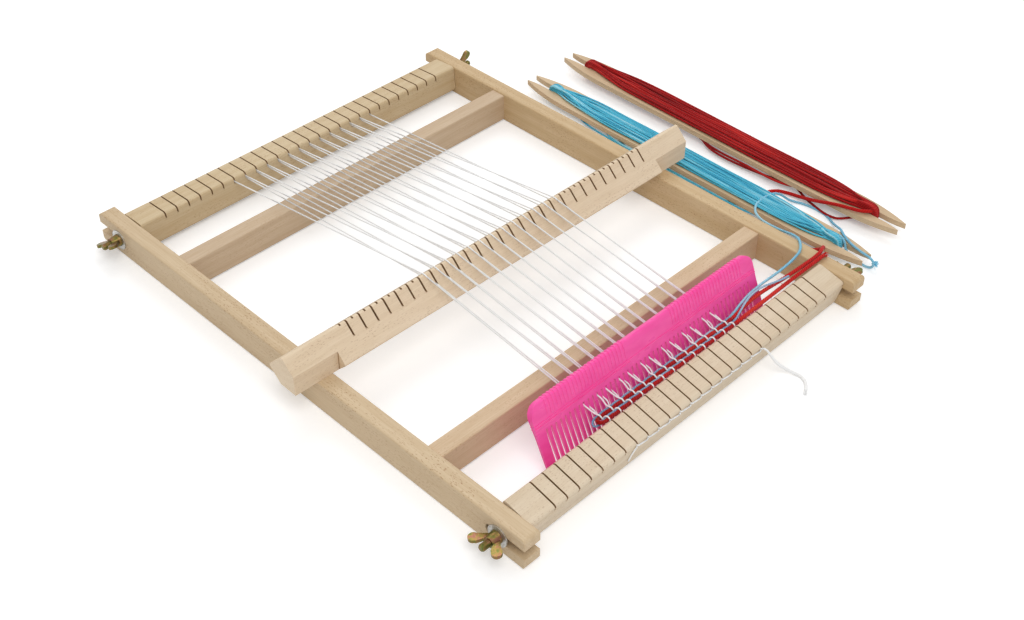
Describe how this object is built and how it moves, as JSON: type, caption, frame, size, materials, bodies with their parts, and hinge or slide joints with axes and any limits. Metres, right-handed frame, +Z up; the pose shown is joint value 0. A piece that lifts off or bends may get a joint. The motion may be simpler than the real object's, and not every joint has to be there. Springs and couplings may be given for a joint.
{
  "type": "weaving frame loom",
  "caption": "Table-top weaving frame loom of beech with a rocking heddle bar, clamped warp beams, a pink comb, two stick shuttles of yarn and a started cloth.",
  "frame": {"origin": "middle of the whole object seen from above, without its free yarns, on the table", "axes": "+X across the loom towards the shuttles, +Y from the weaver to the back of the loom, +Z up"},
  "size_m": [0.439, 0.4508, 0.0488],
  "materials": {
    "beech": "satin",
    "pale_beech": "satin",
    "zinc_steel": "satin",
    "yellow_zinc": "polished",
    "pink_plastic": "gloss",
    "blue_yarn": "matte",
    "red_yarn": "matte",
    "white_cotton": "matte"
  },
  "bodies": {
    "frame": {"left_rail": "beech", "right_rail": "beech", "front_stretcher": "beech", "back_stretcher": "beech", "stretcher_dowels": "pale_beech", "warp": "white_cotton", "blue_weft": "blue_yarn", "red_weft": "red_yarn", "blue_yarn": "blue_yarn", "red_yarn": "red_yarn", "blue_tail": "blue_yarn", "red_tail": "red_yarn", "warp_tail": "white_cotton"},
    "front_clamps": {"washer_front_left": "zinc_steel", "washer_front_right": "zinc_steel"},
    "front_beam": {"front_beam": "beech", "stud_front_left": "zinc_steel", "stud_front_right": "zinc_steel"},
    "back_clamps": {"washer_back_left": "zinc_steel", "washer_back_right": "zinc_steel"},
    "back_beam": {"back_beam": "beech", "stud_back_left": "zinc_steel", "stud_back_right": "zinc_steel"},
    "heddle_bar": {"heddle_bar": "pale_beech"},
    "comb": {"comb": "pink_plastic"},
    "blue_shuttle": {"blue_shuttle": "pale_beech", "blue_winding": "blue_yarn"},
    "red_shuttle": {"red_shuttle": "pale_beech", "red_winding": "red_yarn"},
    "nut_front_left": {"wing_nut_front_left": "yellow_zinc"},
    "nut_front_right": {"wing_nut_front_right": "yellow_zinc"},
    "nut_back_left": {"wing_nut_back_left": "yellow_zinc"},
    "nut_back_right": {"wing_nut_back_right": "yellow_zinc"}
  },
  "joints": [
    {"name": "front_beam_slide", "type": "slide", "parent": "frame", "child": "front_clamps", "axis": [0, 1, 0], "range_m": [-0.003, 0.002], "deforming": ["warp", "blue_weft", "red_weft", "blue_tail", "red_tail", "blue_yarn", "red_yarn", "warp_tail"]},
    {"name": "front_beam_turn", "type": "hinge", "parent": "front_clamps", "child": "front_beam", "pos_m": [-0.03952, -0.19165, 0.013], "axis": [1, 0, 0], "range_deg": [-28, 3], "deforming": ["warp", "blue_weft", "red_weft", "blue_tail", "red_tail", "blue_yarn", "red_yarn", "warp_tail"]},
    {"name": "back_beam_slide", "type": "slide", "parent": "frame", "child": "back_clamps", "axis": [0, 1, 0], "range_m": [-0.002, 0.003], "deforming": ["warp"]},
    {"name": "back_beam_turn", "type": "hinge", "parent": "back_clamps", "child": "back_beam", "pos_m": [-0.03952, 0.18825, 0.0132], "axis": [1, 0, 0], "range_deg": [-12, 20], "deforming": ["warp"]},
    {"name": "wing_nut_front_left_spin", "type": "hinge", "parent": "front_beam", "child": "nut_front_left", "pos_m": [-0.20683, -0.19165, 0.013], "axis": [1, 0, 0], "continuous": true},
    {"name": "wing_nut_front_right_spin", "type": "hinge", "parent": "front_beam", "child": "nut_front_right", "pos_m": [0.12777, -0.19165, 0.013], "axis": [1, 0, 0], "continuous": true},
    {"name": "wing_nut_back_left_spin", "type": "hinge", "parent": "back_beam", "child": "nut_back_left", "pos_m": [-0.20683, 0.18825, 0.0132], "axis": [1, 0, 0], "continuous": true},
    {"name": "wing_nut_back_right_spin", "type": "hinge", "parent": "back_beam", "child": "nut_back_right", "pos_m": [0.12777, 0.18825, 0.0132], "axis": [1, 0, 0], "continuous": true},
    {"name": "heddle_rock", "type": "hinge", "parent": "frame", "child": "heddle_bar", "pos_m": [-0.03952, -0.03545, 0.02405], "axis": [0.9999, -0.0122, 0], "range_deg": [0, 90], "deforming": ["warp"]},
    {"name": "comb_lift", "type": "slide", "parent": "frame", "child": "comb", "axis": [0, 0.4305, 0.9026], "range_m": [0, 0.06]},
    {"name": "blue_shuttle_lift", "type": "slide", "parent": "frame", "child": "blue_shuttle", "axis": [0, 0, 1], "range_m": [0, 0.06], "deforming": ["blue_yarn"]},
    {"name": "red_shuttle_lift", "type": "slide", "parent": "frame", "child": "red_shuttle", "axis": [0, 0, 1], "range_m": [0, 0.06], "deforming": ["red_yarn"]}
  ]
}
